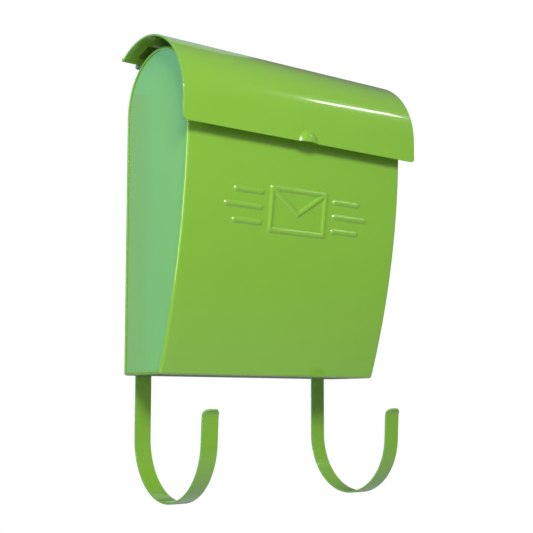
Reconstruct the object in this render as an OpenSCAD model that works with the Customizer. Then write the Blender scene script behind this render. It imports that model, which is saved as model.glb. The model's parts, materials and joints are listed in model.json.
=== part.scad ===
// Wall mailbox of folded and curved sheet steel, with a half-round lid on two butt hinges
// and a pair of strip hooks below for newspapers.
// Millimetres. +Z is up, +Y points into the wall, the front faces -Y.
// The origin is the centre of the four screw holes, on the wall plane.

/* [Body] */
// Width over the side panels
body_w = 290; // [200:1:420]
// Height of the straight back, up to the centre of the domed top
back_h = 281; // [276:1:420]
// Depth at the top of the front panel, which is also the dome's diameter
body_d = 126; // [96:1:180]
// Depth at the floor
foot_d = 75; // [50:1:90]
// Thickness of the panels
sheet = 1; // [0.6:0.1:1.4]
// Outside radius of the folded edges
bend = 3.2; // [3.2:0.1:5]
// Width of the rims folded over the side panels
rim = 4.5; // [3.5:0.1:8]
// Width of the flanges inside the side panels
flange = 10; // [6:0.5:16]
// Angle over the dome at which the mail opening starts
opening_angle = 75; // [70:1:100]
// Gap left in a seam between two panels
seam = 0.12; // [0.05:0.01:0.3]

/* [Emblem] */
// Width of the embossed envelope
emblem_w = 78; // [40:1:120]
// Height of the embossed envelope
emblem_h = 50; // [30:1:70]
// Height of its centre above the floor
emblem_z = 176; // [100:1:200]
// Width of an embossed bead
bead_w = 5.5; // [3:0.5:8]
// Height of an embossed bead
bead_h = 1.6; // [0.8:0.1:2.5]
// Length of the longest bead beside the envelope
stroke_l = 44; // [20:1:60]

/* [Lid] */
// How much larger the lid's inside radius is than the dome's
lid_grow = 17; // [12:0.5:21]
// Thickness of the lid
lid_sheet = 1; // [0.6:0.1:1.6]
// Overhang past each side of the body
lid_over = 12.5; // [6:0.5:20]
// Space between the lid and the front of the body
lid_gap_front = 10.5; // [9:0.5:14]
// Space between the lid and the top of the body
lid_gap_top = 10; // [9:0.5:14]
// Straight drop of the lid below the centre of its curve
lid_drop = 25; // [10:1:50]
// Angle at which the lid's curve ends at the back
lid_rear = 54; // [50:1:58]
// Height of the upturned lip along the rear edge
lid_lip = 4.5; // [3:0.5:6]
// Width of the hem folded under each end
lid_hem = 6; // [3:0.5:10]
// Width of the finger pull pressed into the front edge
pull_w = 26; // [16:1:40]
// How far the finger pull stands out
pull_out = 4; // [2:0.5:6]

/* [Hinges] */
// Length of one hinge
hinge_l = 60; // [40:1:80]
// Angle of the hinge line over the dome
hinge_angle = 50; // [48:1:52]
// Thickness of a hinge leaf
leaf_t = 1.2; // [0.8:0.1:1.5]
// Radius of the hinge pin
pin_r = 1.5; // [1.2:0.1:1.8]
// Running clearance round the pin
pin_fit = 0.05; // [0.02:0.01:0.1]
// Gap between two knuckles
knuckle_gap = 0.4; // [0.2:0.1:1]
// Arc of the dome or lid that a leaf covers, in degrees
leaf_arc = 14; // [10:1:15]

/* [Hooks] */
// Width of the hook strip
strip_w = 19; // [12:1:30]
// Thickness of the hook strip
strip_t = 2; // [1.5:0.1:3]
// Distance from the side of the body to the middle of the strip
hook_inset = 23.5; // [21:0.5:50]
// Radius of the hook's round, at the middle of the strip
hook_r = 65; // [40:1:80]
// Straight length between the floor and the round
hook_drop = 66; // [40:1:100]
// Length of the strip riveted inside the back
hook_tail = 60; // [30:1:90]
// Straight length of the front limb
hook_limb = 26; // [10:1:50]
// Outward lean of the front limb, in degrees
hook_lean = 3; // [0:1:8]
// Radius of the curled tip, at the middle of the strip
tip_r = 9; // [6:1:14]
// Angle of the curled tip
tip_turn = 62; // [30:1:80]
// Corner radius of the strip's end
tip_corner = 7; // [3:0.5:9]

/* [Wall fixing] */
// Distance between the screw holes across
hole_dx = 180; // [100:1:180]
// Distance between the screw holes up
hole_dz = 180; // [100:1:180]
// Height of the lower screw holes above the floor
hole_low = 90; // [70:1:92]
// Radius of a screw hole
hole_r = 3.25; // [2:0.05:4]

/* [Rivets] */
// Radius of a hinge rivet's shank
rivet_r = 1.6; // [1.2:0.1:2]
// Radius of a hook rivet's shank
hook_rivet_r = 2; // [1.5:0.1:2.5]
// Height of a rivet head
head_h = 1.2; // [0.8:0.1:1.6]
// Clearance between a rivet and its hole
rivet_fit = 0.1; // [0.05:0.01:0.2]

/* [Hidden] */

// Overlap that joins two shapes drawn as one piece
eps = 0.01;
// Reach of a cutting shape past the body
far = 400;

// Dome and front curve, as [y, z] with the floor at z = 0
top_r = body_d / 2;
dome = [-top_r, back_h];
front_in = body_d - foot_d;
front_r = (front_in * front_in + back_h * back_h) / (2 * front_in);
front_c = [front_r - body_d, back_h];
front_sweep = asin(back_h / (front_r - body_d)) + 2;
// Where a side panel's outer face lies behind a rim
inner = sheet + seam;
half_w = body_w / 2;

// Lid curve
lid_r = top_r + lid_grow;
lid_c = [lid_r - body_d - lid_gap_front, back_h + top_r + lid_gap_top - lid_r];
lid_w = body_w + 2 * lid_over;
lid_out = lid_r + lid_sheet;
pull_r = (pull_w * pull_w / 4 + pull_out * pull_out) / (2 * pull_out);
pull_c = [lid_c[0] - lid_out - pull_out + pull_r, lid_c[1] - lid_drop];
// The front panel's lip stops this far short of the lid that rests on it
rest_gap = 0.5;
lid_reach = sqrt(lid_r * lid_r - pow(back_h - lid_c[1], 2));
stop_l = lid_reach - lid_c[0] - body_d - rest_gap;

// Hinge line halfway between dome and lid, and where the leaves lie on the one and under the other
hinge_dir = [cos(hinge_angle), sin(hinge_angle)];
lid_shift = lid_c - dome;
shift_along = lid_shift * hinge_dir;
reach_to_lid = shift_along + sqrt(pow(shift_along, 2) - lid_shift * lid_shift + lid_r * lid_r);
hinge = dome + (top_r + reach_to_lid) / 2 * hinge_dir;
knuckle_r = pin_r + pin_fit + leaf_t;
knuckle_l = (hinge_l - 2 * knuckle_gap) / 3;
pin_head_over = 0.9;
pin_head_r = pin_r + pin_head_over;
pin_head_l = 1;
hinge_x = half_w - sheet - pin_head_l - seam - hinge_l / 2;
// Angle from the hinge line, or from the lid's rear edge, to where its leaf starts
leaf_start = 9;
body_leaf_a = hinge_angle + leaf_start;
lid_leaf_a = lid_rear + leaf_start;
rivet_offset = leaf_arc / 2 + 1;
body_rivet_a = body_leaf_a + rivet_offset;
lid_rivet_a = lid_leaf_a + rivet_offset;
// Radius of a rivet's head, of its closed tail and of its crown, over its shank's
head_ratio = 2;
tail_ratio = 1.6;
crown_ratio = 3;
rivet_step = hinge_l / 3 - head_ratio * rivet_r;
rivet_bore_l = 4 * leaf_t + 2 * sheet;
rivet_bore_in = 3 * sheet;

// Hook strip, as [y, z]
hook_y = -sheet - seam - strip_t / 2;
hook_c = [hook_y - hook_r, -hook_drop];
hook_x = half_w - hook_inset;
hook_rivet_z = [hook_tail * 0.3, hook_tail * 0.75];
slot_fit = 0.4;
steps = 48;

// How far the flap's point lies under the envelope's middle, and the outer beads from it,
// both over the envelope's half height
flap_dip = 0.12;
stroke_spread = 0.72;

// Screw holes
hole_mid = hole_low + hole_dz / 2;

// Moves a shape drawn with its floor at z = 0 so that the origin is amid the screw holes
module place() {
    translate([0, 0, -hole_mid]) children();
}

// Stands a [y, z] drawing up and gives it a thickness along X, centred
module across(w) {
    rotate([90, 0, 90]) linear_extrude(w, center = true) children();
}

// A [radius, x] section swept about a line along X through c, from angle a over t degrees
module sweep(c, a, t, n) {
    translate([0, c[0], c[1]]) rotate([90, 0, 90]) rotate([0, 0, a])
        rotate_extrude(angle = t, $fn = n) children();
}

// Sector of a ring about the drawing's origin, with the circles' seam turned away from it
module arc_band(r0, r1, a0, a1) {
    intersection() {
        rotate((a0 + a1) / 2 + 180) difference() {
            circle(r = r1, $fn = 180);
            circle(r = r0, $fn = 180);
        }
        polygon(concat([[0, 0]], [for (k = [0:6]) along([0, 0], 2 * r1, a0 + (a1 - a0) * k / 6)]));
    }
}

// Point at distance r and angle a from c
function along(c, r, a) = c + r * [cos(a), sin(a)];

// Bar of thickness t from p to q
module bar(p, q, t) {
    d = q - p;
    translate(p) rotate(atan2(d[1], d[0])) translate([0, -t / 2]) square([norm(d), t]);
}

// Strip from x0 to x1, as wide as w, with the two corners at x1 rounded
module rounded_end(x0, x1, w, r) {
    translate([x0, -w / 2]) square([x1 - x0 - r, w]);
    translate([x0, r - w / 2]) square([x1 - x0, w - 2 * r]);
    for (s = [-1, 1]) translate([x1 - r, s * (w / 2 - r)]) circle(r = r, $fn = 48);
}

// Side view of the lower body, drawn in by i. The panels have a round fold between front and
// floor, and what lies inside them has that corner cut off just clear of the fold.
module side_view(i) {
    r = bend - i;
    a = asin((back_h - i - r) / (front_r - i - r));
    c = along(front_c, front_r - i - r, 180 + a);
    z = i < inner ? c[1] - r * sin(a) : i;
    intersection() {
        translate(front_c) circle(r = front_r - i, $fn = 720);
        translate([-body_d - bend, z]) square([body_d + bend - i, back_h - z]);
        if (i >= inner) translate(c) rotate(225 + a / 2)
            translate([-2 * far, -far]) square([2 * far + r, 2 * far]);
    }
    if (i < inner) {
        translate(c) circle(r = r, $fn = 48);
        translate([c[0], i]) square([-i - c[0], r]);
    }
}

// Solid form of the body, drawn in by i on every face
module form(i) {
    w = body_w - 2 * i;
    r = bend - i;
    intersection() {
        across(w) side_view(i);
        sweep(front_c, 180, front_sweep, 720) rounded_end(front_r - body_d - bend, front_r - i, w, r);
        linear_extrude(back_h) rotate([0, 0, 90]) rounded_end(-body_d - bend, -i, w, r);
        rotate([90, 0, 0]) linear_extrude(far) rotate([0, 0, -90]) rounded_end(-back_h, -i, w, r);
    }
    sweep(dome, 0, 180, 180) rounded_end(0, top_r - i, w, r);
}

// Sheet of the body between two depths
module skin(i, j) {
    difference() {
        form(i);
        form(j);
    }
}

// Everything within rim of the front curve
module front_zone(extra) {
    difference() {
        translate([-body_d - bend, -eps]) square([body_d, back_h + eps]);
        translate(front_c) circle(r = front_r - rim - extra, $fn = 720);
    }
}

// Bores for the hinge rivets through the dome or the lid
module rivet_line(c, a, r, l) {
    for (k = [-1:1]) translate([k * rivet_step, c[0], c[1]]) rotate([a, 0, 0])
        translate([0, l, 0]) rotate([-90, 0, 0]) cylinder(r = r, h = rivet_bore_l, $fn = 32);
}

module hinge_places() {
    for (s = [-1, 1]) translate([s * hinge_x, 0, 0]) children();
}

// Section of the back with its two rims, measured out from the dome's centre
module back_section() {
    difference() {
        rounded_end(0, top_r, body_w, bend);
        rounded_end(-1, top_r - sheet, body_w - 2 * sheet, bend - sheet);
        translate([-1, -body_w]) square([top_r - rim + 1, 2 * body_w]);
    }
}

module back_panel() {
    color("yellowgreen") place() difference() {
        union() {
            translate([0, -top_r, rim + seam]) linear_extrude(back_h - rim - seam)
                rotate(90) back_section();
            sweep(dome, 0, opening_angle, 180) back_section();
        }
        for (x = [-1, 1], z = [0, 1]) translate([x * hole_dx / 2, 1, hole_low + z * hole_dz])
            rotate([90, 0, 0]) cylinder(r = hole_r, h = sheet + 2, $fn = 48);
        for (s = [-1, 1], z = hook_rivet_z) translate([s * hook_x, 1, z])
            rotate([90, 0, 0]) cylinder(r = hook_rivet_r + rivet_fit, h = sheet + 2, $fn = 32);
        hinge_places() rivet_line(dome, body_rivet_a, rivet_r + rivet_fit, top_r - rivet_bore_in);
    }
}

// Generic raised envelope with three beads on each side, drawn as the front is seen
module emblem() {
    w = emblem_w / 2 - bead_w / 2;
    h = emblem_h / 2 - bead_w / 2;
    corners = [[-w, -h], [w, -h], [w, h], [-w, h]];
    flap = [[-w, h], [0, -flap_dip * h], [w, h]];
    for (k = [0:3]) {
        bar(corners[k], corners[(k + 1) % 4], bead_w);
        translate(corners[k]) circle(r = bead_w / 2, $fn = 32);
    }
    for (k = [0:1]) bar(flap[k], flap[k + 1], bead_w);
    translate(flap[1]) circle(r = bead_w / 2, $fn = 32);
    for (s = [-1, 1], k = [-1:1]) {
        a = [s * (emblem_w / 2 + 2 * bead_w), k * h * stroke_spread];
        b = a + [s * (stroke_l - abs(k) * stroke_l / 4), 0];
        bar(a, b, bead_w);
        for (p = [a, b]) translate(p) circle(r = bead_w / 2, $fn = 32);
    }
}

module front_panel() {
    color("yellowgreen") place() {
        intersection() {
            skin(0, sheet);
            across(body_w + 2) front_zone(0);
        }
        // embossing
        intersection() {
            translate([0, 0, emblem_z]) rotate([90, 0, 0]) linear_extrude(body_d + far / 4) emblem();
            across(body_w) difference() {
                translate(front_c) circle(r = front_r + bead_h, $fn = 720);
                translate(front_c) circle(r = front_r - sheet / 2, $fn = 720);
            }
        }
        // lip that the lid rests on
        translate([flange - half_w, -body_d - stop_l, back_h - sheet])
            cube([body_w - 2 * flange, stop_l + sheet / 2, sheet]);
    }
}

module side_panel() {
    intersection() {
        union() {
            skin(inner, inner + sheet);
            // folded edge beside the mail opening
            intersection() {
                skin(0, inner + sheet);
                across(body_w + 2) translate(dome)
                    arc_band(top_r - rim, top_r + 1, opening_angle + 0.2, 180);
            }
        }
        translate([half_w - flange, -far, 0]) cube([flange + 1, 2 * far, far * 2]);
    }
}

module left_side_panel() {
    color("mediumaquamarine") place() mirror([1, 0, 0]) side_panel();
}

module right_side_panel() {
    color("mediumaquamarine") place() side_panel();
}

module bottom_panel() {
    color("olivedrab") place() difference() {
        intersection() {
            skin(0, sheet);
            translate([-far, -far, -1]) cube([2 * far, 2 * far, rim + 1]);
        }
        across(body_w + 2) front_zone(seam);
        for (s = [-1, 1]) translate([s * hook_x, hook_y, 0])
            cube([strip_w + 2 * slot_fit, strip_t + 2 * slot_fit, 4 * sheet], center = true);
    }
}

module lid() {
    color("yellowgreen") place() difference() {
        union() {
            across(lid_w) {
                translate(lid_c) arc_band(lid_r, lid_out, lid_rear, 180);
                translate(lid_c + [-lid_out, -lid_drop]) square([lid_sheet, lid_drop]);
                // upturned rear lip
                translate(along(lid_c, lid_out, lid_rear) - [lid_sheet, lid_sheet])
                    square([lid_sheet, lid_lip + lid_sheet]);
            }
            // hem under each end
            for (s = [-1, 1]) translate([s * (lid_w - lid_hem) / 2, 0, 0]) across(lid_hem) {
                translate(lid_c) arc_band(lid_r - lid_sheet, lid_r + eps, lid_rear + 1, 180);
                translate(lid_c + [-lid_r - eps, -lid_drop]) square([lid_sheet + eps, lid_drop]);
            }
            pull_cap(pull_r, 0);
        }
        pull_cap(pull_r - lid_sheet, 1);
        hinge_places() rivet_line(lid_c, lid_rivet_a, rivet_r + rivet_fit, lid_r - rivet_bore_in);
    }
}

// Half dome of the finger pull, above the lid's lower edge
module pull_cap(r, extra) {
    intersection() {
        translate([0, pull_c[0], pull_c[1]]) sphere(r = r, $fn = 96);
        translate([-pull_w, lid_c[0] - lid_out - 2 * pull_out, pull_c[1] - extra])
            cube([2 * pull_w, 2 * pull_out + lid_sheet * (1 + extra) - eps, pull_w]);
    }
}

// Knuckles of a leaf: the outer two for the body, the middle one for the lid
module knuckles(places) {
    for (k = places) translate([k * (knuckle_l + knuckle_gap), 0, 0]) across(knuckle_l)
        children();
}

module pin_bore() {
    translate([0, hinge[0], hinge[1]]) rotate([0, 90, 0])
        cylinder(r = pin_r + pin_fit, h = hinge_l + 2, center = true, $fn = 48);
}

module hinge_body_leaf() {
    end = along(dome, top_r + seam + leaf_t / 2, body_leaf_a + 1);
    difference() {
        union() {
            across(hinge_l) translate(dome)
                arc_band(top_r + seam, top_r + seam + leaf_t, body_leaf_a, body_leaf_a + leaf_arc);
            knuckles([-1, 1]) {
                translate(hinge) circle(r = knuckle_r, $fn = 48);
                bar(hinge - [0, knuckle_r - leaf_t / 2], end, leaf_t);
            }
        }
        pin_bore();
        rivet_line(dome, body_rivet_a, rivet_r + rivet_fit, top_r - rivet_bore_in);
    }
}

module hinge_lid_leaf() {
    end = along(lid_c, lid_r - seam - leaf_t / 2, lid_leaf_a + 1);
    rise = end - hinge;
    side = [rise[1], -rise[0]] / norm(rise);
    difference() {
        union() {
            across(hinge_l) translate(lid_c)
                arc_band(lid_r - seam - leaf_t, lid_r - seam, lid_leaf_a, lid_leaf_a + leaf_arc);
            knuckles([0]) {
                translate(hinge) circle(r = knuckle_r, $fn = 48);
                bar(hinge + side * (knuckle_r - leaf_t / 2), end, leaf_t);
            }
        }
        pin_bore();
        rivet_line(lid_c, lid_rivet_a, rivet_r + rivet_fit, lid_r - rivet_bore_in);
    }
}

module hinge_pin() {
    translate([0, hinge[0], hinge[1]]) rotate([0, 90, 0]) {
        cylinder(r = pin_r, h = hinge_l + 2 * seam, center = true, $fn = 48);
        for (s = [-1, 1]) translate([0, 0, s * (hinge_l / 2 + seam + pin_head_l / 2)])
            cylinder(r = pin_head_r, h = pin_head_l, center = true, $fn = 48);
    }
}

// Rivet along +Z with its head seated at z = grip and its tail closed under z = 0
module rivet(r, grip, tail) {
    translate([0, 0, -tail]) cylinder(r = r, h = grip + tail + head_h / 2, $fn = 32);
    translate([0, 0, grip]) intersection() {
        cylinder(r = head_ratio * r, h = head_h, $fn = 32);
        translate([0, 0, head_h - crown_ratio * r]) sphere(r = crown_ratio * r, $fn = 64);
    }
    if (tail > 0) translate([0, 0, -tail]) cylinder(r = tail_ratio * r, h = tail, $fn = 32);
}

// Three rivets that point out from c at angle a, with their tails seated at radius r
module rivet_row(c, a, r, grip) {
    for (k = [-1:1]) translate([k * rivet_step, c[0], c[1]]) rotate([a, 0, 0])
        translate([0, r, 0]) rotate([-90, 0, 0]) rivet(rivet_r, grip, head_h);
}

module body_rivets() {
    rivet_row(dome, body_rivet_a, top_r - sheet - seam / 2, sheet + leaf_t + 2 * seam);
}

module lid_rivets() {
    rivet_row(lid_c, lid_rivet_a, lid_r - leaf_t - 1.5 * seam, lid_sheet + leaf_t + 2 * seam);
}

module left_hinge_body_leaf() {
    color("dimgray") place() translate([-hinge_x, 0, 0]) hinge_body_leaf();
}

module left_hinge_lid_leaf() {
    color("dimgray") place() translate([-hinge_x, 0, 0]) hinge_lid_leaf();
}

module left_hinge_pin() {
    color("black") place() translate([-hinge_x, 0, 0]) hinge_pin();
}

module left_hinge_body_rivets() {
    color("silver") place() translate([-hinge_x, 0, 0]) body_rivets();
}

module left_hinge_lid_rivets() {
    color("silver") place() translate([-hinge_x, 0, 0]) lid_rivets();
}

module right_hinge_body_leaf() {
    color("dimgray") place() translate([hinge_x, 0, 0]) hinge_body_leaf();
}

module right_hinge_lid_leaf() {
    color("dimgray") place() translate([hinge_x, 0, 0]) hinge_lid_leaf();
}

module right_hinge_pin() {
    color("black") place() translate([hinge_x, 0, 0]) hinge_pin();
}

module right_hinge_body_rivets() {
    color("silver") place() translate([hinge_x, 0, 0]) body_rivets();
}

module right_hinge_lid_rivets() {
    color("silver") place() translate([hinge_x, 0, 0]) lid_rivets();
}

// Strip hook: tail inside the back, straight drop, round, front limb and curled tip
module hook() {
    t = strip_t / 2;
    foot = along(hook_c, hook_r, 180 + hook_lean);
    limb_end = foot + hook_limb * [-sin(hook_lean), cos(hook_lean)];
    tip_c = along(limb_end, -tip_r, hook_lean);
    tip_top = along(tip_c, tip_r + t, hook_lean + tip_turn)[1];
    round_a = [for (k = [0:steps]) 360 - (180 - hook_lean) * k / steps];
    tip_a = [for (k = [0:steps]) hook_lean + tip_turn * k / steps];
    outline = concat(
        [[hook_y + t, hook_tail]],
        [for (a = round_a) along(hook_c, hook_r + t, a)],
        [for (a = tip_a) along(tip_c, tip_r - t, a)],
        [for (k = [steps:-1:0]) along(tip_c, tip_r + t, tip_a[k])],
        [for (k = [steps:-1:0]) along(hook_c, hook_r - t, round_a[k])],
        [[hook_y - t, hook_tail]]);
    difference() {
        across(strip_w) polygon(outline);
        // rounded corners at the tip, seen from the front
        translate([0, hook_c[0], 0]) rotate([90, 0, 0]) linear_extrude(far) rotate(90) difference() {
            translate([tip_top - tip_corner, -strip_w]) square([2 * tip_corner, 2 * strip_w]);
            rounded_end(-far, tip_top, strip_w, tip_corner);
        }
        for (z = hook_rivet_z) translate([0, 1, z]) rotate([90, 0, 0])
            cylinder(r = hook_rivet_r + rivet_fit, h = 10 * strip_t, $fn = 32);
    }
}

module left_hook() {
    color("olivedrab") place() translate([-hook_x, 0, 0]) hook();
}

module right_hook() {
    color("olivedrab") place() translate([hook_x, 0, 0]) hook();
}

// Hook rivets end flush with the wall side of the back
module hook_rivets() {
    for (z = hook_rivet_z) translate([0, 0, z]) rotate([90, 0, 0])
        rivet(hook_rivet_r, sheet + strip_t + 2 * seam, 0);
}

module left_hook_rivets() {
    color("silver") place() translate([-hook_x, 0, 0]) hook_rivets();
}

module right_hook_rivets() {
    color("silver") place() translate([hook_x, 0, 0]) hook_rivets();
}

back_panel();
front_panel();
left_side_panel();
right_side_panel();
bottom_panel();
lid();
left_hinge_body_leaf();
left_hinge_lid_leaf();
left_hinge_pin();
left_hinge_body_rivets();
left_hinge_lid_rivets();
right_hinge_body_leaf();
right_hinge_lid_leaf();
right_hinge_pin();
right_hinge_body_rivets();
right_hinge_lid_rivets();
left_hook();
right_hook();
left_hook_rivets();
right_hook_rivets();
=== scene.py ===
import bmesh
import bpy
import json
import math
from mathutils import Matrix, Vector


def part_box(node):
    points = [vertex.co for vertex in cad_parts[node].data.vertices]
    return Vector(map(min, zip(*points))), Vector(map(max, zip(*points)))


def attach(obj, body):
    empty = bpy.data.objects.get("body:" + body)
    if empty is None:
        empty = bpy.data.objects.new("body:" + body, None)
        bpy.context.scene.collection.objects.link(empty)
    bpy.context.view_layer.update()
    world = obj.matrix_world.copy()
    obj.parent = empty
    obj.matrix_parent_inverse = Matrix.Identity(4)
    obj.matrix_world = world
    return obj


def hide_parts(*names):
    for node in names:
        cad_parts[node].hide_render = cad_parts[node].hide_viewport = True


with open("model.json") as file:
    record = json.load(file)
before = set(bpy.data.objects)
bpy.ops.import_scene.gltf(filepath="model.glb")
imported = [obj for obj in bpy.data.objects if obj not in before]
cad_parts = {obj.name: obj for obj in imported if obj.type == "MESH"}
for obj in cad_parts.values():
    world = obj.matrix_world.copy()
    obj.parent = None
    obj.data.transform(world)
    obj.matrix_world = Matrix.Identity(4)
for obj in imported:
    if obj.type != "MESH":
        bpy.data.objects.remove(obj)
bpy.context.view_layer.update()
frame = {"record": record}
mm = 0.001
sharpAngle = math.radians(48)        # edges that turn by more than this are softened

# sizes that the frame gives: the body's half width, floor and dome, and the lid's hinge line
bodyLow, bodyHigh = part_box("left_side_panel")
lidLow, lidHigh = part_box("lid")
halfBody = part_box("back_panel")[1].x
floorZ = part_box("bottom_panel")[0].z
domeR = -bodyLow.y / 2
domeC = (-domeR, bodyHigh.z - domeR)
hingeY, hingeZ = frame["record"]["behaviour"]["joints"][0]["pos_m"][1:]
print("frame loaded")


class Wire:
    # an output socket that can stand in plain arithmetic: each operator adds a Math node
    def __init__(self, tree, socket):
        self.tree = tree
        self.socket = socket

    def math(self, operation, *others):
        return mathNode(self.tree, operation, self, *others)

    def __add__(self, other):
        return self.math("ADD", other)

    def __radd__(self, other):
        return self.math("ADD", other)

    def __sub__(self, other):
        return self.math("SUBTRACT", other)

    def __rsub__(self, other):
        return mathNode(self.tree, "SUBTRACT", other, self)

    def __mul__(self, other):
        return self.math("MULTIPLY", other)

    def __rmul__(self, other):
        return self.math("MULTIPLY", other)

    def __truediv__(self, other):
        return self.math("DIVIDE", other)

    def __rtruediv__(self, other):
        return mathNode(self.tree, "DIVIDE", other, self)


def addNode(tree, kind, settings=None, inputs=None):
    node = tree.nodes.new(kind)
    for key, value in (settings or {}).items():
        setattr(node, key, value)
    for key, value in (inputs or {}).items():
        socket = node.inputs[key]
        if isinstance(value, Wire):
            tree.links.new(value.socket, socket)
        else:
            socket.default_value = value
    return node


def mathNode(tree, operation, *values):
    node = addNode(tree, "ShaderNodeMath", {"operation": operation}, dict(enumerate(values)))
    return Wire(tree, node.outputs[0])


def out(node, key=0):
    return Wire(node.id_data, node.outputs[key])


# the same formulas serve plain numbers and sockets
def sine(a):
    return a.math("SINE") if isinstance(a, Wire) else math.sin(a)


def cosine(a):
    return a.math("COSINE") if isinstance(a, Wire) else math.cos(a)


def root(a):
    return a.math("SQRT") if isinstance(a, Wire) else math.sqrt(a)


def atLeast(a, low):
    return a.math("MAXIMUM", low) if isinstance(a, Wire) else max(a, low)


def atMost(a, high):
    return a.math("MINIMUM", high) if isinstance(a, Wire) else min(a, high)


def between(a, low, high):
    return atMost(atLeast(a, low), high)


def bentPath(s, start, heading, bends):
    # point and heading at length s along a strip: (length,) runs straight on, and
    # (radius, degrees) turns left, or right where the degrees are negative
    y, z = start
    facing = heading
    done = 0
    for bend in bends:
        if len(bend) == 1:
            length = bend[0]
            part = between(s - done, 0, length)
            y = y + part * math.cos(heading)
            z = z + part * math.sin(heading)
        else:
            radius, angle = bend[0], math.radians(bend[1])
            way = math.copysign(1, angle)
            length = radius * abs(angle)
            now = heading + between(s - done, 0, length) / radius * way
            y = y + (sine(now) - math.sin(heading)) * radius * way
            z = z - (cosine(now) - math.cos(heading)) * radius * way
            facing = facing + now - heading
            heading = heading + angle
        done = done + length
    return y, z, facing


def bendLength(bend):
    return bend[0] if len(bend) == 1 else bend[0] * math.radians(abs(bend[1]))


def stations(bends, steps):
    # (length so far, index of the bend) at each row, with steps rows to each bend
    rows = []
    done = 0
    for k, (bend, n) in enumerate(zip(bends, steps)):
        length = bendLength(bend)
        rows += [(done + length * i / n, k) for i in range(n)]
        done += length
    return rows + [(done, len(bends) - 1)]


def spread(low, high, step):
    n = max(1, round((high - low) / step))
    return [low + (high - low) * i / n for i in range(n)]


def roundedHalf(half, corner, s):
    # half width at a distance s from an end whose corners are rounded
    short = atLeast(corner - s, 0)
    return half - corner + root(atLeast(corner * corner - short * short, 0))


def newMesh(name, verts, faces):
    mesh = bpy.data.meshes.new(name)
    mesh.from_pydata(verts, [], faces)
    mesh.update()
    return mesh


def weld(mesh, reach=1e-6):
    # joins points that coincide and drops those that no face uses
    bm = bmesh.new()
    bm.from_mesh(mesh)
    bmesh.ops.remove_doubles(bm, verts=bm.verts, dist=reach)
    bmesh.ops.delete(bm, geom=[v for v in bm.verts if not v.link_faces], context="VERTS")
    bm.to_mesh(mesh)
    bm.free()
    return mesh


def applied(obj, name):
    # the object's evaluated mesh, as a plain mesh without modifiers
    bpy.context.view_layer.update()
    graph = bpy.context.evaluated_depsgraph_get()
    mesh = bpy.data.meshes.new_from_object(
        obj.evaluated_get(graph), preserve_all_data_layers=True, depsgraph=graph)
    mesh.name = name
    old = obj.data
    bpy.data.objects.remove(obj)
    if old.users == 0:
        bpy.data.meshes.remove(old)
    return mesh


def sheetMesh(mesh, thickness, edge=0.25 * mm):
    # gives the middle surface of a sheet its thickness and softens its cut edges
    obj = bpy.data.objects.new("work", mesh)
    bpy.context.scene.collection.objects.link(obj)
    if thickness:
        solid = obj.modifiers.new("thickness", "SOLIDIFY")
        solid.thickness = thickness
        solid.offset = 0
        solid.use_even_offset = True
    bevel = obj.modifiers.new("edges", "BEVEL")
    bevel.width = edge
    bevel.segments = 2
    bevel.limit_method = "ANGLE"
    bevel.angle_limit = sharpAngle
    mesh.shade_smooth()
    weighted = obj.modifiers.new("normals", "WEIGHTED_NORMAL")
    weighted.mode = "FACE_AREA_WITH_ANGLE"
    weighted.keep_sharp = True
    return applied(obj, mesh.name)


def joined(name, meshes):
    objs = []
    for mesh in meshes:
        obj = bpy.data.objects.new("work", mesh)
        bpy.context.scene.collection.objects.link(obj)
        objs.append(obj)
    with bpy.context.temp_override(
            active_object=objs[0], selected_objects=objs, selected_editable_objects=objs):
        bpy.ops.object.join()
    mesh = objs[0].data
    mesh.name = name
    bpy.data.objects.remove(objs[0])
    return mesh


def gridMesh(name, points, keep=None, holes=()):
    # quads over rows of points; a hole fills one cell with a fan round its edge
    n = len(points[0])
    verts = [p for row in points for p in row]
    faces = []
    holed = {(i, j): (centre, r) for i, j, centre, r in holes}
    for i in range(len(points) - 1):
        for j in range(n - 1):
            corners = [i * n + j, i * n + j + 1, (i + 1) * n + j + 1, (i + 1) * n + j]
            if (i, j) in holed:
                addHole(verts, faces, corners, *holed[(i, j)])
            elif keep is None or keep(i, j):
                faces.append(corners)
    return newMesh(name, verts, faces)


def addHole(verts, faces, corners, centre, r, quarter=8):
    # corners run (-x, -z), (x, -z), (x, z), (-x, z) about a hole in the plane of the back
    ring = []
    for k in range(4 * quarter):
        a = math.radians(225 + 90 * k / quarter)
        ring.append(len(verts))
        verts.append((centre[0] + r * math.cos(a), centre[1], centre[2] + r * math.sin(a)))
    for k in range(4):
        first = (k * quarter - quarter // 2) % (4 * quarter)
        for m in range(quarter):
            a = ring[(first + m) % (4 * quarter)]
            b = ring[(first + m + 1) % (4 * quarter)]
            faces.append([corners[k], b, a])
        last = ring[(first + quarter) % (4 * quarter)]
        faces.append([corners[k], corners[(k + 1) % 4], last])


def revolved(name, profile, centre, sides=40):
    # revolves (x, radius) pairs about a line along X through centre
    verts = []
    for x, r in profile:
        for k in range(sides):
            a = 2 * math.pi * k / sides
            verts.append((centre[0] + x, centre[1] + r * math.cos(a), centre[2] + r * math.sin(a)))
    faces = []
    for i in range(len(profile) - 1):
        for k in range(sides):
            m = (k + 1) % sides
            faces.append([i * sides + k, i * sides + m, (i + 1) * sides + m, (i + 1) * sides + k])
    top = (len(profile) - 1) * sides
    faces.append(list(range(sides))[::-1])
    faces.append([top + k for k in range(sides)])
    return newMesh(name, verts, faces)


def addPiece(name, mesh, material, body, nodes):
    mesh.materials.clear()
    mesh.materials.append(material)
    obj = bpy.data.objects.new(name, mesh)
    bpy.context.scene.collection.objects.link(obj)
    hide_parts(*nodes)
    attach(obj, body)
    print("made", name, len(mesh.polygons))


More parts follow.
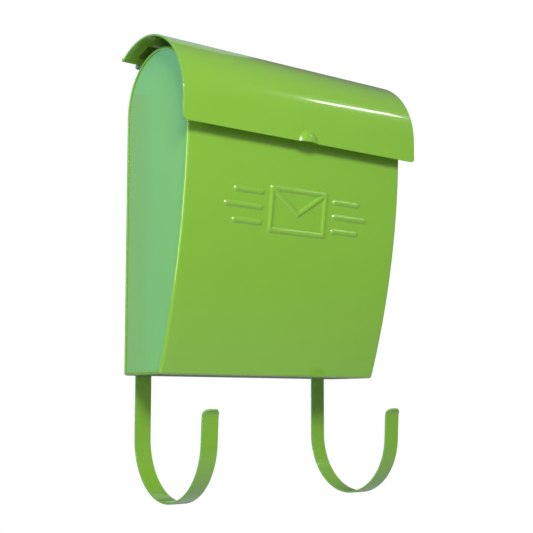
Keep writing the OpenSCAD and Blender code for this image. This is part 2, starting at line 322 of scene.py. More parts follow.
def geometryTree(name, sizes):
    # a tree with one named input to each size, and its Group Input and Group Output nodes
    tree = bpy.data.node_groups.new(name, "GeometryNodeTree")
    tree.interface.new_socket(name="Geometry", in_out="OUTPUT", socket_type="NodeSocketGeometry")
    for size in sizes:
        tree.interface.new_socket(name=size, in_out="INPUT", socket_type="NodeSocketFloat")
    given = addNode(tree, "NodeGroupInput")
    return tree, {size: out(given, size) for size in sizes}


def endTree(tree, geometry, material):
    real = out(addNode(tree, "GeometryNodeRealizeInstances", inputs={"Geometry": geometry}))
    painted = out(addNode(tree, "GeometryNodeSetMaterial", inputs={
        "Geometry": real, "Material": material}))
    addNode(tree, "NodeGroupOutput", inputs={"Geometry": painted})


def treeMesh(tree, sizes, name):
    obj = bpy.data.objects.new("work", bpy.data.meshes.new("work"))
    bpy.context.scene.collection.objects.link(obj)
    modifier = obj.modifiers.new("build", "NODES")
    modifier.node_group = tree
    for item in tree.interface.items_tree:
        if item.in_out == "INPUT":
            modifier[item.identifier] = sizes[item.name]
    return applied(obj, name)


def positionParts(tree):
    where = out(addNode(tree, "GeometryNodeInputPosition"))
    return addNode(tree, "ShaderNodeSeparateXYZ", inputs={0: where})


def combined(tree, x=0.0, y=0.0, z=0.0):
    return out(addNode(tree, "ShaderNodeCombineXYZ", inputs={0: x, 1: y, 2: z}))


def gridIndex(tree, columns, rows):
    # a unit grid with its column, counted from the middle, and its row, counted from 0
    grid = addNode(tree, "GeometryNodeMeshGrid", inputs={
        "Size X": 1.0, "Size Y": 1.0, "Vertices X": columns + 1, "Vertices Y": rows + 1})
    place = positionParts(tree)
    return out(grid, "Mesh"), out(place, 0) * columns, (out(place, 1) + 0.5) * rows


def placed(tree, geometry, x, y, z):
    where = combined(tree, x, y, z)
    return out(addNode(tree, "GeometryNodeSetPosition", inputs={
        "Geometry": geometry, "Position": where}))


def rowLength(row, bends, steps):
    # length along the bends at a row, with steps rows to each bend
    s = 0
    first = 0
    for bend, n in zip(bends, steps):
        length = bendLength(bend)
        s = s + between(row - first, 0, n) * (length / n)
        first += n
    return s


# finishes: gloss enamel over the sheet steel, and the bare steel of the hinge pins
enamelLook = {
    "green": (0.203, 0.43, 0.036), "deep": (0.184, 0.405, 0.031), "roughness": 0.16,
    "coat": 0.9, "coatRoughness": 0.035, "mottle": 7, "mottleRoughness": 0.06,
    "grain": 2600, "grainMix": 0.35, "grainBright": 1.35,
    "flecks": 330, "fleckFrom": 0.82, "fleckMix": 0.2, "fleckRoughness": 0.04,
    "peelSize": 420, "waveSize": 90, "peelStrength": 0.035, "peelDepth": 0.4 * mm}
pinLook = {
    "light": (0.42, 0.41, 0.39), "dark": (0.22, 0.215, 0.2), "roughness": 0.28,
    "marks": (25, 900, 900), "markRoughness": 0.22, "stain": 140, "stainRoughness": 0.1,
    "markStrength": 0.25, "markDepth": 0.05 * mm}


def surface(name, metallic=0.0, coat=0.0, coatRoughness=0.05, specular=0.5):
    material = bpy.data.materials.new(name)
    material.use_nodes = True
    tree = material.node_tree
    shader = tree.nodes["Principled BSDF"]
    shader.inputs["Metallic"].default_value = metallic
    shader.inputs["Coat Weight"].default_value = coat
    shader.inputs["Coat Roughness"].default_value = coatRoughness
    shader.inputs["Specular IOR Level"].default_value = specular
    place = out(addNode(tree, "ShaderNodeTexCoord"), "Object")
    return material, tree, shader, place


def noise(tree, place, scale, detail=2.0, rough=0.5):
    return out(addNode(tree, "ShaderNodeTexNoise", inputs={
        "Vector": place, "Scale": scale, "Detail": detail, "Roughness": rough}), 0)


def feed(tree, shader, key, wire):
    tree.links.new(wire.socket, shader.inputs[key])


def blendColours(tree, factor, a, b):
    node = addNode(tree, "ShaderNodeMix", {"data_type": "RGBA"}, {"Factor": factor})
    for socket, colour in ((node.inputs[6], a), (node.inputs[7], b)):
        if isinstance(colour, Wire):
            tree.links.new(colour.socket, socket)
        else:
            socket.default_value = (*colour, 1)
    return out(node, 2)


def bump(tree, shader, height, strength, distance):
    node = addNode(tree, "ShaderNodeBump", inputs={
        "Strength": strength, "Distance": distance, "Height": height})
    feed(tree, shader, "Normal", out(node))


def enamel(name, look=enamelLook, tone=1.0):
    material, tree, shader, place = surface(
        name, coat=look["coat"], coatRoughness=look["coatRoughness"])
    cloud = noise(tree, place, look["mottle"], 3)
    green = tuple(c * tone for c in look["green"])
    deep = tuple(c * tone for c in look["deep"])
    colour = blendColours(tree, cloud, green, deep)
    # grains of pigment and the odd fleck of dust under the gloss
    bright = tuple(look["grainBright"] * c for c in green)
    grain = between(noise(tree, place, look["grain"], 1) - 0.5, 0, 1)
    colour = blendColours(tree, grain * look["grainMix"], colour, bright)
    fleck = between((noise(tree, place, look["flecks"], 0) - look["fleckFrom"]) * 30, 0, 1)
    colour = blendColours(tree, fleck * look["fleckMix"], colour, deep)
    feed(tree, shader, "Base Color", colour)
    rough = look["roughness"] + cloud * look["mottleRoughness"] + fleck * look["fleckRoughness"]
    feed(tree, shader, "Roughness", rough)
    # the faint peel of sprayed enamel, over a slower wave
    peel = noise(tree, place, look["peelSize"], 2, 0.4) + noise(tree, place, look["waveSize"], 1) * 0.8
    bump(tree, shader, peel, look["peelStrength"], look["peelDepth"])
    return material


def steel(name, look):
    # bare steel with drawing marks across the pin and cloudy stains
    material, tree, shader, place = surface(name, metallic=1.0)
    stretched = out(addNode(tree, "ShaderNodeMapping", inputs={"Vector": place, "Scale": look["marks"]}))
    marks = noise(tree, stretched, 1.0, 4, 0.6)
    stain = noise(tree, place, look["stain"], 4)
    stained = between(stain * 1.6 - 0.3, 0, 1)
    feed(tree, shader, "Base Color", blendColours(tree, stained, look["light"], look["dark"]))
    rough = look["roughness"] + marks * look["markRoughness"] + stain * look["stainRoughness"]
    feed(tree, shader, "Roughness", rough)
    bump(tree, shader, marks + stain * 0.5, look["markStrength"], look["markDepth"])
    return material


greenEnamel = enamel("greenEnamel")
rivetEnamel = enamel("rivetEnamel", tone=0.97)
# the hooks' enamel is the green darkened to 0.86, painted shade for the dimmer light that reaches them
# below the box
hookEnamelPaintedShade = enamel("hookEnamelPaintedShade", tone=0.86)
# the hinge leaves' enamel is the green darkened to 0.42, painted shade for the dark shadow under the lid
hingeEnamelPaintedShade = enamel("hingeEnamelPaintedShade", dict(enamelLook, roughness=0.3), tone=0.42)
pinSteel = steel("pinSteel", pinLook)
print("materials ready")


# the back, front and bottom are folded from one gauge of sheet
panel = {"sheet": 1.0 * mm, "fold": 3.2 * mm, "rim": 4.5 * mm, "seam": 0.12 * mm}
sheet = panel["sheet"]
fold = panel["fold"] - sheet / 2
rimEnd = panel["rim"] - sheet / 2


def quarterTurn(steps):
    return [math.radians(90 * k / steps) for k in range(steps + 1)]


def foldSection(middle):
    # (x, depth under the middle surface) across a panel whose two sides are folded back
    corner = halfBody - panel["fold"]
    folded = [(corner + fold * math.sin(a), fold - fold * math.cos(a)) for a in quarterTurn(6)]
    folded.append((corner + fold, rimEnd))
    return [(-x, d) for x, d in folded[::-1]] + [(x, 0) for x in middle] + folded


def onRim(section, j):
    # whether the strip of the section from point j lies on the straight rim past the fold
    return max(section[j][1], section[j + 1][1]) > fold + 0.001 * mm


def panelPoints(rows, section, start, heading, bends, lift=None):
    points = []
    for s, k in rows:
        y, z, turn = bentPath(s, start, heading, bends)
        inward = Vector((-math.sin(turn), math.cos(turn)))
        row = []
        for x, depth in section:
            depth -= lift(x, z) if lift and depth == 0 else 0
            row.append((x, y + depth * inward.x, z + depth * inward.y))
        points.append(row)
    return points


# back: straight up the wall and on over the dome
back = {
    "opening": 75, "screwHole": 3.25 * mm, "holeCell": 9 * mm, "rivetHole": 2.05 * mm,
    "rivetCell": 5 * mm, "rowGap": 45 * mm, "domeSteps": 26}
screwAt = frame["record"]["mounts"][0]["dims"]["spacing_x_mm"] * mm / 2
hookLow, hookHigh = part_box("right_hook")
hookX = (hookLow.x + hookHigh.x) / 2
rivetLow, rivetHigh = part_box("right_hook_rivets")
hookRivetR = (rivetHigh.x - rivetLow.x) / 4
hookRivetZ = (rivetLow.z + 2 * hookRivetR, rivetHigh.z - 2 * hookRivetR)


def makeBack():
    corners = [(x, z) for x in (-screwAt, screwAt) for z in (-screwAt, screwAt)]
    cells = [(x, z, back["holeCell"], back["screwHole"]) for x, z in corners]
    cells += [(x, z, back["rivetCell"], back["rivetHole"]) for x in (-hookX, hookX) for z in hookRivetZ]
    middle = sorted({0.0} | {round(x + way * size, 6) for x, z, size, r in cells for way in (-1, 1)})
    section = foldSection(middle)
    heights = sorted({round(z + way * size, 6) for x, z, size, r in cells for way in (-1, 1)})
    startZ = floorZ + panel["rim"] + panel["seam"]
    stops = sorted({startZ, -back["rowGap"], 0.0, back["rowGap"]} | set(heights))
    rows = [(z - startZ, 0) for z in stops]
    bends = [(domeC[1] - startZ,), (domeR - sheet / 2, back["opening"])]
    rows += [row for row in stations(bends, (1, back["domeSteps"])) if row[1] == 1]
    points = panelPoints(rows, section, (-sheet / 2, startZ), math.pi / 2, bends)
    xs = [x for x, d in section]
    holes = []
    for x, z, size, r in cells:
        i = min(range(len(stops)), key=lambda k: abs(stops[k] - (z - size)))
        j = min(range(len(xs)), key=lambda k: abs(xs[k] - (x - size)))
        holes.append((i, j, (x, -sheet / 2, z), r))
    return sheetMesh(gridMesh("backPanel", points, holes=holes), sheet)


addPiece("backPanel", makeBack(), greenEnamel, "box", ["back_panel"])

# front: lip under the lid, long inward curve, fold into the floor
front = {
    "footDepth": 75 * mm, "lipEnd": -135.6 * mm, "lipHalf": 135 * mm, "lipBend": 1.5 * mm,
    "emblemZ": -4 * mm, "emblemW": 78 * mm, "emblemH": 50 * mm, "beadW": 5.5 * mm, "beadH": 1.6 * mm,
    "strokeLength": 44 * mm, "strokeSpread": 0.72, "flapDip": 0.12, "beadEdge": 0.35 * mm,
    "cell": 0.7 * mm, "midCell": 6 * mm, "wideCell": 8 * mm, "emblemHalf": 98 * mm, "slit": 0.1 * mm,
    "rowsFrom": 76 * mm, "rowsTo": 136 * mm, "steps": (2, 5, 1, 7, 1)}
bodyDepth = 2 * domeR
frontIn = bodyDepth - front["footDepth"]
frontH = domeC[1] - floorZ
frontR = (frontIn ** 2 + frontH ** 2) / (2 * frontIn)
footAngle = math.degrees(math.asin((frontH - panel["fold"]) / (frontR - panel["fold"])))


def emblemLines():
    # an envelope with its flap, and three strokes on either side
    bead = front["beadW"]
    w = (front["emblemW"] - bead) / 2
    h = (front["emblemH"] - bead) / 2
    corners = [(-w, -h), (w, -h), (w, h), (-w, h)]
    lines = [(corners[k], corners[(k + 1) % 4]) for k in range(4)]
    tip = (0, -front["flapDip"] * h)
    lines += [((-w, h), tip), (tip, (w, h))]
    for way in (-1, 1):
        for k in (-1, 0, 1):
            x = way * (front["emblemW"] / 2 + 2 * bead)
            z = k * h * front["strokeSpread"]
            lines.append(((x, z), (x + way * front["strokeLength"] * (1 - abs(k) / 4), z)))
    return [(Vector(a), Vector(b)) for a, b in lines]


emblem = emblemLines()


def beadHeight(x, z):
    # how far the emblem's beads stand out of the panel at a point of it
    p = Vector((x, z - front["emblemZ"]))
    if abs(p.y) > front["emblemH"]:
        return 0
    gap = front["emblemW"]
    for a, b in emblem:
        run = b - a
        t = between((p - a).dot(run) / run.length_squared, 0, 1)
        gap = min(gap, (p - a - run * t).length)
    t = min(gap / (front["beadW"] / 2 + front["beadEdge"]), 1)
    return front["beadH"] * (1 - t ** 3) ** 2


def makeFront():
    lip, wide, slit = front["lipHalf"], front["emblemHalf"], front["slit"]
    beside = spread(-lip + front["midCell"], -wide, front["wideCell"])
    middle = [-lip - slit, -lip] + beside + spread(-wide, wide, front["cell"])
    middle += [-x for x in beside[::-1]] + [wide, lip, lip + slit]
    section = foldSection(sorted(set(middle)))
    radius = frontR - sheet / 2
    lead = math.degrees(math.asin((front["lipBend"] + sheet / 2) / radius))
    start = (front["lipEnd"], domeC[1] - sheet / 2)
    wallY = -bodyDepth + sheet / 2
    bends = [(wallY - front["lipEnd"] - front["lipBend"],), (front["lipBend"], lead - 90),
             (radius, footAngle - lead), (fold, 90 - footAngle), (panel["rim"] - panel["fold"],)]
    rows = [row for row in stations(bends, front["steps"]) if row[1] != 2]
    first = bendLength(bends[0]) + bendLength(bends[1])
    arcEnd = first + bendLength(bends[2])
    # the rows lie close together only where the emblem is
    high, low = first + front["rowsFrom"], first + front["rowsTo"]
    arc = spread(first, high, front["midCell"]) + spread(high, low, front["cell"])
    arc += spread(low, arcEnd, front["wideCell"])
    rows = sorted(rows + [(s, 2) for s in arc])
    points = panelPoints(rows, section, start, 0, bends, beadHeight)
    xs = [x for x, d in section]
    # beside the lip the sheet simply runs on upwards
    bend = [i for i, row in enumerate(rows) if row[1] == 1]
    bend.append(bend[-1] + 1)
    for n, i in enumerate(bend):
        z = domeC[1] - (front["lipBend"] + sheet / 2) * n / (len(bend) - 1)
        for j, (x, depth) in enumerate(section):
            if abs(x) > lip + slit / 2:
                points[i][j] = (x, wallY + depth, z)

    def keep(i, j):
        kind = rows[i][1]
        outer = max(abs(xs[j]), abs(xs[j + 1])) > lip + slit / 2
        inner = min(abs(xs[j]), abs(xs[j + 1])) < lip + slit / 2
        if kind == 0:
            return not outer
        if kind == 1:
            return not (outer and inner)
        return kind == 2 or not onRim(section, j)

    return sheetMesh(weld(gridMesh("frontPanel", points, keep)), sheet)


addPiece("frontPanel", makeFront(), greenEnamel, "box", ["front_panel"])

# bottom: a shallow tray behind the front's lower fold, notched for the hook strips
bottom = {"slotHalf": 9.9 * mm, "steps": (6, 7, 1)}


def makeBottom():
    slots = [way * hookX + edge * bottom["slotHalf"] for way in (-1, 1) for edge in (-1, 1)]
    section = foldSection(sorted({0.0} | set(slots)))
    slope = math.radians(footAngle)
    startY = -front["footDepth"] + panel["rim"] / math.cos(slope) + 2 * panel["seam"]
    bends = [(-panel["fold"] - startY,), (fold, 90), (panel["rim"] - panel["fold"],)]
    rows = stations(bends, bottom["steps"])
    points = panelPoints(rows, section, (startY, floorZ + sheet / 2), 0, bends)
    xs = [x for x, d in section]

    def keep(i, j):
        mid = abs(xs[j] + xs[j + 1]) / 2
        if rows[i][1] == 0:
            return True
        return not onRim(section, j) and abs(mid - hookX) > bottom["slotHalf"]

    return sheetMesh(weld(gridMesh("bottomPanel", points, keep)), sheet)


addPiece("bottomPanel", makeBottom(), greenEnamel, "box", ["bottom_panel"])

# sides: a flat plate let in between the rims, flanged inwards
side = {
    "inset": panel["seam"] + sheet, "flangeX": 135 * mm, "softEdge": 0.2 * mm,
    "steps": (6, 24, 72, 48, 5, 8), "edge": 4.5 * mm, "edgeFrom": 75.2, "edgeFill": 0.97,
    "edgeSoftness": 0.35 * mm, "edgeSteps": 44}


def makeSide(name, mirror):
    radius = panel["fold"]
    footY = frontR - bodyDepth - (frontR - radius) * math.cos(math.radians(footAngle))
    outline = [(radius, 90), (frontH - radius,), (domeR, 180), (frontR, footAngle),
               (radius, 90 - footAngle), (-radius - footY,)]
    start = (-radius, floorZ)

    def swept(rows, section, closed):
        points = []
        for s in rows:
            y, z, turn = bentPath(s, start, 0, outline)
            inward = (-math.sin(turn), math.cos(turn))
            points.append([(mirror * x, y + d * inward[0], z + d * inward[1]) for x, d in section])
        if closed:
            points.append(points[0])
        return points

    # plate with its flange
    middle = side["inset"] + sheet / 2
    turnR = radius - middle
    plateX = halfBody - middle
    rounded = [(plateX - turnR + turnR * math.cos(a), middle + turnR - turnR * math.sin(a))
               for a in quarterTurn(5)]
    section = rounded + [(side["flangeX"], middle)]
    rows = [s for s, k in stations(outline, side["steps"])][:-1]
    points = swept(rows, section, True)
    plate = gridMesh(name, points)
    n = len(section)
    verts = [v.co[:] for v in plate.vertices]
    faces = [list(p.vertices) for p in plate.polygons]
    faces.append([i * n for i in range(len(rows))])
    plate = sheetMesh(weld(newMesh(name, verts, faces)), sheet, edge=side["softEdge"])
    # folded edge beside the mail opening
    thick = (side["inset"] + sheet) * side["edgeFill"]
    turnR = radius - thick / 2
    edgeX = halfBody - radius
    section = [(halfBody - thick / 2, side["edge"])]
    section += [(edgeX + turnR * math.cos(a), radius - turnR * math.sin(a)) for a in quarterTurn(6)]
    section.append((side["flangeX"], thick / 2))
    domeStart = bendLength(outline[0]) + bendLength(outline[1])
    first = domeStart + domeR * math.radians(side["edgeFrom"])
    last = domeStart + domeR * math.pi
    steps = side["edgeSteps"]
    rows = [first + (last - first) * i / steps for i in range(steps + 1)]
    edge = gridMesh(name + "Edge", swept(rows, section, False))
    return joined(name, [plate, sheetMesh(edge, thick, edge=side["edgeSoftness"])])


for name, node, mirror in (("leftSide", "left_side_panel", -1), ("rightSide", "right_side_panel", 1)):
    addPiece(name, makeSide(name, mirror), greenEnamel, "box", [node])

# lid: one bent sheet, with a finger pull pressed into its front edge
lidSize = {
    "sheet": 1.0 * mm, "radius": 80.5 * mm, "turn": 124, "lipBend": 1.2 * mm, "lip": 2.3 * mm,
    "drop": 25 * mm, "pullRadius": 22.6 * mm, "pullOut": 4 * mm, "pullEdge": 0.7 * mm,
    "hem": 6 * mm, "hemFill": 0.96, "hemBack": 0.3 * mm, "hemEdge": 0.3 * mm,
    "corner": 4.5 * mm, "softEdge": 0.32 * mm, "steps": (32, 76, 8, 2),
    "fineColumns": 19, "fineCell": 0.8 * mm, "wideColumns": 36}
lidHalf = lidHigh.x
lidFront = lidLow.y + lidSize["pullOut"] + lidSize["sheet"] / 2


def lidTree():
    names = ("Half Width", "Curve Radius", "Drop", "Lip", "Pull Radius", "Pull Out")
    tree, size = geometryTree("lidSheet", names)
    # narrow columns across the finger pull, and wide ones from there to the ends
    fine, wide, cell = lidSize["fineColumns"], lidSize["wideColumns"], lidSize["fineCell"]
    grid, column, row = gridIndex(tree, 2 * (fine + wide), sum(lidSize["steps"]))
    count = column.math("ABSOLUTE")
    bends = [(size["Drop"],), (size["Curve Radius"], -lidSize["turn"]),
             (lidSize["lipBend"], lidSize["turn"]), (size["Lip"],)]
    s = rowLength(row, bends, lidSize["steps"])
    y, z, turn = bentPath(s, (lidFront, lidLow.z), math.pi / 2, bends)
    half = roundedHalf(size["Half Width"], lidSize["corner"], s)
    reach = atMost(count, fine) * cell + atLeast(count - fine, 0) * ((half - fine * cell) / wide)
    x = reach * column.math("SIGN")
    # the pull is part of a ball that is centred on the lower edge
    rise = z - lidLow.z
    ball = root(atLeast(size["Pull Radius"] * size["Pull Radius"] - x * x - rise * rise, 0))
    proud = (ball - size["Pull Radius"] + size["Pull Out"]).math("SMOOTH_MAX", 0.0, lidSize["pullEdge"])
    onFront = (row - lidSize["steps"][0]).math("LESS_THAN", 0.5)
    endTree(tree, placed(tree, grid, x, y - proud * onFront, z), greenEnamel)
    return tree


def makeLid():
    skin = treeMesh(lidTree(), {
        "Half Width": lidHalf, "Curve Radius": lidSize["radius"], "Drop": lidSize["drop"],
        "Lip": lidSize["lip"], "Pull Radius": lidSize["pullRadius"], "Pull Out": lidSize["pullOut"]},
        "lidSheet")
    parts = [sheetMesh(skin, lidSize["sheet"], edge=lidSize["softEdge"])]
    # a hem under each end, a hair shorter than the skin
    inner = lidSize["radius"] - lidSize["sheet"]
    start = (lidFront + lidSize["sheet"], lidLow.z + lidSize["hemBack"])
    bends = [(lidSize["drop"] - lidSize["hemBack"],), (inner, -lidSize["turn"] + 1)]
    hemX = lidHalf - lidSize["hem"]
    for end in (-1, 1):
        points = []
        for s, k in stations(bends, lidSize["steps"][:2]):
            y, z, turn = bentPath(s, start, math.pi / 2, bends)
            edgeX = roundedHalf(lidHalf, lidSize["corner"], s)
            points.append([(end * (hemX + (edgeX - hemX) * t), y, z) for t in (0, 0.5, 1)])
        hem = gridMesh("hem", points)
        parts.append(sheetMesh(hem, lidSize["hemFill"] * lidSize["sheet"], edge=lidSize["hemEdge"]))
    return joined("lidSheet", parts)


addPiece("lidSheet", makeLid(), greenEnamel, "lid", ["lid"])

# hooks: one strip each, bent down, round and out at the tip
hook = {
    "width": hookHigh.x - hookLow.x, "strip": 2 * mm, "round": 65 * mm, "lean": 3, "limb": 26 * mm,
    "tipRadius": 9 * mm, "tipTurn": 62, "corner": 7 * mm, "softEdge": 0.45 * mm,
    "columns": 8, "steps": (10, 64, 5, 14)}
hookTop = (hookHigh.y - hook["strip"] / 2, hookHigh.z)


def hookTree():
    names = ("Width", "Drop", "Round", "Limb", "Tip Radius", "Corner", "Middle")
    tree, size = geometryTree("hookStrip", names)
    columns, steps = hook["columns"], hook["steps"]
    grid, column, row = gridIndex(tree, columns, sum(steps))
    bends = [(size["Drop"],), (size["Round"], hook["lean"] - 180), (size["Limb"],),
             (size["Tip Radius"], hook["tipTurn"])]
    s = rowLength(row, bends, steps)
    y, z, turn = bentPath(s, hookTop, -math.pi / 2, bends)
    full = rowLength(sum(steps), bends, steps)
    half = roundedHalf(size["Width"] / 2, size["Corner"], full - s)
    x = size["Middle"] + column / (columns / 2) * half
    endTree(tree, placed(tree, grid, x, y, z), hookEnamelPaintedShade)
    return tree


hookGroup = hookTree()
hookDrop = hookHigh.z - hookLow.z - hook["round"] - hook["strip"] / 2
for name, node, middle in (("leftHook", "left_hook", -hookX), ("rightHook", "right_hook", hookX)):
    strip = treeMesh(hookGroup, {
        "Width": hook["width"], "Drop": hookDrop, "Round": hook["round"], "Limb": hook["limb"],
        "Tip Radius": hook["tipRadius"], "Corner": hook["corner"], "Middle": middle}, name)
    strip = sheetMesh(strip, hook["strip"], edge=hook["softEdge"])
    addPiece(name, strip, hookEnamelPaintedShade, "box", [node])

# hinges: two leaves each, curled round a pin with two heads
hinge = {
    "length": 60 * mm, "leaf": 1.2 * mm, "pin": 1.5 * mm, "fit": 0.05 * mm, "gap": 0.4 * mm,
    "arc": 14, "overlap": 0.6, "curl": 315, "bodyFrom": 59, "lidFrom": 63, "bodyRivets": 67,
    "lidRivets": 71, "crown": 0.5 * mm, "pinEdge": 0.12 * mm, "arcSteps": (10,),
    "tongueSteps": (4, 30)}
pinLow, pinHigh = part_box("right_hinge_pin")
hingeX = (pinLow.x + pinHigh.x) / 2
curlR = hinge["pin"] + hinge["fit"] + hinge["leaf"] / 2
knuckleL = (hinge["length"] - 2 * hinge["gap"]) / 3
lidC = (lidFront + lidSize["radius"], lidLow.z + lidSize["drop"])


def leafMesh(name, middle, centre, radius, fromAngle, knuckles, way):
    # leaf along an arc about centre, and tongues that run tangent to the pin and curl round it
    def strip(bends, start, heading, steps, low, high):
        points = []
        for s, k in stations(bends, steps):
            y, z, turn = bentPath(s, start, heading, bends)
            points.append([(low + (high - low) * t, y, z) for t in (0, 0.5, 1)])
        return sheetMesh(gridMesh(name, points), hinge["leaf"])

    a = math.radians(fromAngle + hinge["arc"])
    start = (centre[0] + radius * math.cos(a), centre[1] + radius * math.sin(a))
    half = hinge["length"] / 2
    arc = [(radius, -hinge["arc"])]
    parts = [strip(arc, start, a - math.pi / 2, hinge["arcSteps"], middle - half, middle + half)]
    a = math.radians(fromAngle + hinge["overlap"])
    foot = Vector((centre[0] + radius * math.cos(a), centre[1] + radius * math.sin(a)))
    toPin = Vector((hingeY, hingeZ)) - foot
    aim = math.atan2(toPin.y, toPin.x) - way * math.asin(curlR / toPin.length)
    bends = [(math.sqrt(toPin.length ** 2 - curlR ** 2),), (curlR, way * hinge["curl"])]
    for k in knuckles:
        low = middle + k * (knuckleL + hinge["gap"]) - knuckleL / 2
        parts.append(strip(bends, foot[:], aim, hinge["tongueSteps"], low, low + knuckleL))
    return joined(name, parts)


def pinMesh(name, middle):
    half = hinge["length"] / 2 + panel["seam"]
    headR = (pinHigh.z - pinLow.z) / 2
    end = (pinHigh.x - pinLow.x) / 2
    crown = [(end - hinge["crown"] * (1 - math.sin(a)), headR - hinge["crown"] * (1 - math.cos(a)))
             for a in quarterTurn(5)]
    profile = [(half, hinge["pin"]), (half, headR)] + crown
    profile = [(-x, r) for x, r in profile[::-1]] + profile
    mesh = revolved(name, profile, (middle, hingeY, hingeZ))
    mesh.shade_smooth()
    return sheetMesh(mesh, 0, edge=hinge["pinEdge"])


rivet = {
    "shank": 1.6 * mm, "head": 3.2 * mm, "height": 1.2 * mm, "tail": 2.56 * mm, "count": 3,
    "step": 16.8 * mm, "sides": 36, "rings": 20}


def rivetTree(tail):
    # rivets in a row along X, each with a domed head, a shank and perhaps a closed tail
    names = (
        "Shank", "Head", "Height", "Grip", "Tail", "Count", "Step", "Tilt", "Middle", "At Y", "At Z")
    tree, size = geometryTree("rivetRow", names)

    def dome(radius, turn, lift):
        ball = out(addNode(tree, "GeometryNodeMeshUVSphere", inputs={
            "Segments": rivet["sides"], "Rings": rivet["rings"], "Radius": 1.0}), "Mesh")
        place = positionParts(tree)
        rise = atLeast(out(place, 2), 0) * size["Height"]
        cap = placed(tree, ball, out(place, 0) * radius, out(place, 1) * radius, rise)
        return out(addNode(tree, "GeometryNodeTransform", inputs={
            "Geometry": cap, "Translation": combined(tree, z=lift), "Rotation": (turn, 0, 0)}))

    shank = out(addNode(tree, "GeometryNodeMeshCylinder", inputs={
        "Vertices": rivet["sides"], "Radius": size["Shank"], "Depth": size["Grip"]}), "Mesh")
    shank = out(addNode(tree, "GeometryNodeTransform", inputs={
        "Geometry": shank, "Translation": combined(tree, z=size["Grip"] / 2)}))
    join = addNode(tree, "GeometryNodeJoinGeometry")
    shapes = [shank, dome(size["Head"], 0, size["Grip"])]
    if tail:
        shapes.append(dome(size["Tail"], math.pi, 0.0))
    for shape in shapes:
        tree.links.new(shape.socket, join.inputs[0])
    firstX = size["Middle"] - size["Step"] * (size["Count"] - 1) / 2
    line = out(addNode(tree, "GeometryNodeMeshLine", inputs={
        "Count": size["Count"], "Start Location": combined(tree, firstX, size["At Y"], size["At Z"]),
        "Offset": combined(tree, size["Step"])}))
    rivets = out(addNode(tree, "GeometryNodeInstanceOnPoints", inputs={
        "Points": line, "Instance": out(join), "Rotation": combined(tree, size["Tilt"])}))
    endTree(tree, rivets, rivetEnamel)
    return tree


closedRivets, flushRivets = rivetTree(True), rivetTree(False)


def hingeRivets(name, middle, centre, radius, angle, grip):
    a = math.radians(angle)
    return treeMesh(closedRivets, {
        "Shank": rivet["shank"], "Head": rivet["head"], "Height": rivet["height"], "Grip": grip,
        "Tail": rivet["tail"], "Count": rivet["count"], "Step": rivet["step"],
        "Tilt": a - math.pi / 2, "Middle": middle,
        "At Y": centre[0] + radius * math.cos(a), "At Z": centre[1] + radius * math.sin(a)}, name)


bodyLeafR = domeR + panel["seam"] + hinge["leaf"] / 2
lidLeafR = lidSize["radius"] - lidSize["sheet"] / 2 - panel["seam"] - hinge["leaf"] / 2
for word, cad, middle in (("left", "left_", -hingeX), ("right", "right_", hingeX)):
    name = word + "BodyLeaf"
    mesh = leafMesh(name, middle, domeC, bodyLeafR, hinge["bodyFrom"], (-1, 1), 1)
    addPiece(name, mesh, hingeEnamelPaintedShade, "box", [cad + "hinge_body_leaf"])
    name = word + "LidLeaf"
    mesh = leafMesh(name, middle, lidC, lidLeafR, hinge["lidFrom"], (0,), -1)
    addPiece(name, mesh, hingeEnamelPaintedShade, "lid", [cad + "hinge_lid_leaf"])
    name = word + "HingePin"
    addPiece(name, pinMesh(name, middle), pinSteel, "box", [cad + "hinge_pin"])
    name = word + "BodyRivets"
    grip = sheet + hinge["leaf"] + panel["seam"]
    mesh = hingeRivets(name, middle, domeC, domeR - sheet, hinge["bodyRivets"], grip)
    addPiece(name, mesh, rivetEnamel, "box", [cad + "hinge_body_rivets"])
    name = word + "LidRivets"
    grip = lidSize["sheet"] + hinge["leaf"] + panel["seam"]
    mesh = hingeRivets(name, middle, lidC, lidLeafR - hinge["leaf"] / 2, hinge["lidRivets"], grip)
    addPiece(name, mesh, rivetEnamel, "lid", [cad + "hinge_lid_rivets"])

# rivets that hold the hook strips to the back
for word, middle in (("left", -hookX), ("right", hookX)):
    name = word + "HookRivets"
    mesh = treeMesh(flushRivets, {
        "Shank": hookRivetR, "Head": 2 * hookRivetR, "Height": rivet["height"],
        "Grip": -rivetLow.y - rivet["height"], "Tail": 0, "Count": 1, "Step": 0,
        "Tilt": math.pi / 2, "Middle": middle, "At Y": 0, "At Z": 0}, name)
    both = []
    for z in hookRivetZ:
        copy = mesh.copy()
        copy.transform(Matrix.Translation((0, 0, z)))
        both.append(copy)
    addPiece(name, joined(name, both), rivetEnamel, "box", [word + "_hook_rivets"])

# studio: a pale floor, a white backdrop, and lights that the camera doesn't see
studio = {
    "floorZ": -1.4, "floorHalf": 4, "floorLight": (0.93, 0.93, 0.93), "floorDark": (0.9, 0.9, 0.9),
    "floorMottle": 3, "floorRoughness": 0.9, "sky": 0.2, "skyRise": 0.06, "skyBack": 0.1}
softLights = {
    "key": {"at": (-0.9, -1.95, 1.1), "to": (0, -0.06, 0), "size": (0.7, 0.55), "power": 55},
    "streak": {"at": (2.15, -1.5, 2.25), "to": (0.1, -0.1, 0.13), "size": (0.5, 0.1), "power": 2.3},
    "leftStrip": {"at": (-1.9, -0.7, 0.08), "to": (-0.14, -0.12, 0), "size": (0.22, 1.07), "power": 15},
    "topCard": {
        "at": (0.2, 1.6, 1.7), "to": (0, 0, 0.15), "size": (2.4, 1.2), "power": 3,
        "colour": (0.7, 1.0, 0.85)},
    "backCard": {
        "at": (0.9, 2.2, 0.22), "to": (0, 0, 0.22), "size": (1.8, 0.55), "power": 1.7,
        "colour": (0.5, 1.0, 0.8)}}
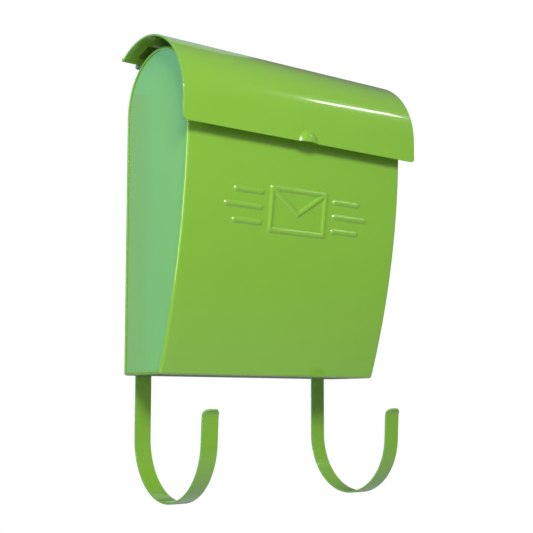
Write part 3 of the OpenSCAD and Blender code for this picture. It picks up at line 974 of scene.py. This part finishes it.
# a wide upright card to the left shows in the box's side, and its lower far part is greyer
cardPlane = {"origin": (-1.25, 1.15, 0), "run": (0.733, 0.68, 0), "glow": 3.0}
sideCards = {
    "mintCard": {"along": (-1.0, 0.37), "up": (-0.4, 1.2), "colour": (0.1, 0.76, 1.0)},
    "mintCardTop": {"along": (0.37, 1.6), "up": (0.61, 1.2), "colour": (0.1, 0.76, 1.0)},
    "greyCard": {"along": (0.37, 1.6), "up": (-0.4, 0.61), "colour": (0.22, 0.36, 0.74)}}
view = {
    "at": (-0.6995, -1.0081, -0.2102), "tilt": 5.54, "turn": -37.27, "lens": 71.65,
    "shiftX": -0.0276, "shiftY": 0.065}


def makeStage():
    half, z = studio["floorHalf"], studio["floorZ"]
    corners = [(-half, -half, z), (half, -half, z), (half, half, z), (-half, half, z)]
    plane = newMesh("floor", corners, [(0, 1, 2, 3)])
    material, tree, shader, place = surface("paleFloor", specular=0.1)
    mottle = noise(tree, place, studio["floorMottle"])
    pale = blendColours(tree, mottle, studio["floorLight"], studio["floorDark"])
    feed(tree, shader, "Base Color", pale)
    shader.inputs["Roughness"].default_value = studio["floorRoughness"]
    plane.materials.append(material)
    floor = bpy.data.objects.new("floor", plane)
    bpy.context.scene.collection.objects.link(floor)
    world = bpy.data.worlds.new("studio")
    bpy.context.scene.world = world
    world.use_nodes = True
    tree = world.node_tree
    # the backdrop is white, and lights the box a little more from above and less from behind
    where = out(addNode(tree, "ShaderNodeTexCoord"))
    direction = addNode(tree, "ShaderNodeSeparateXYZ", inputs={0: where})
    seen = out(addNode(tree, "ShaderNodeLightPath"))
    behind = atLeast(out(direction, 1), 0)
    light = out(direction, 2) * studio["skyRise"] + studio["sky"] - behind * studio["skyBack"]
    feed(tree, tree.nodes["Background"], "Strength", light + seen * (1 - light))
    tree.nodes["Background"].inputs["Color"].default_value = (1, 1, 1, 1)


def addLight(name, at, to, size, power, colour=(1, 1, 1)):
    data = bpy.data.lights.new(name, "AREA")
    data.shape = "RECTANGLE"
    data.size, data.size_y = size
    data.energy = power
    data.color = colour
    obj = bpy.data.objects.new(name, data)
    obj.location = at
    obj.rotation_euler = (Vector(to) - Vector(at)).to_track_quat("-Z", "Y").to_euler()
    obj.visible_camera = False
    bpy.context.scene.collection.objects.link(obj)


def addCard(name, along, up, colour):
    # a part of the upright card, from its span along the card and its span in height
    run = Vector(cardPlane["run"])
    at = Vector(cardPlane["origin"]) + run * (sum(along) / 2) + Vector((0, 0, sum(up) / 2))
    width, height = along[1] - along[0], up[1] - up[0]
    power = cardPlane["glow"] * width * height
    addLight(name, at, at + run.cross((0, 0, 1)), (width, height), power, colour)


def addCamera():
    data = bpy.data.cameras.new("camera")
    data.lens = view["lens"]
    data.sensor_width = 36
    data.shift_x = view["shiftX"]
    data.shift_y = view["shiftY"]
    data.clip_end = 50
    obj = bpy.data.objects.new("camera", data)
    obj.location = view["at"]
    obj.rotation_euler = (math.radians(90 + view["tilt"]), 0, math.radians(view["turn"]))
    bpy.context.scene.collection.objects.link(obj)
    bpy.context.scene.camera = obj


makeStage()
for name, light in softLights.items():
    addLight(name, **light)
for name, card in sideCards.items():
    addCard(name, **card)
addCamera()
bpy.context.scene.view_settings.view_transform = "Standard"
print("studio ready")
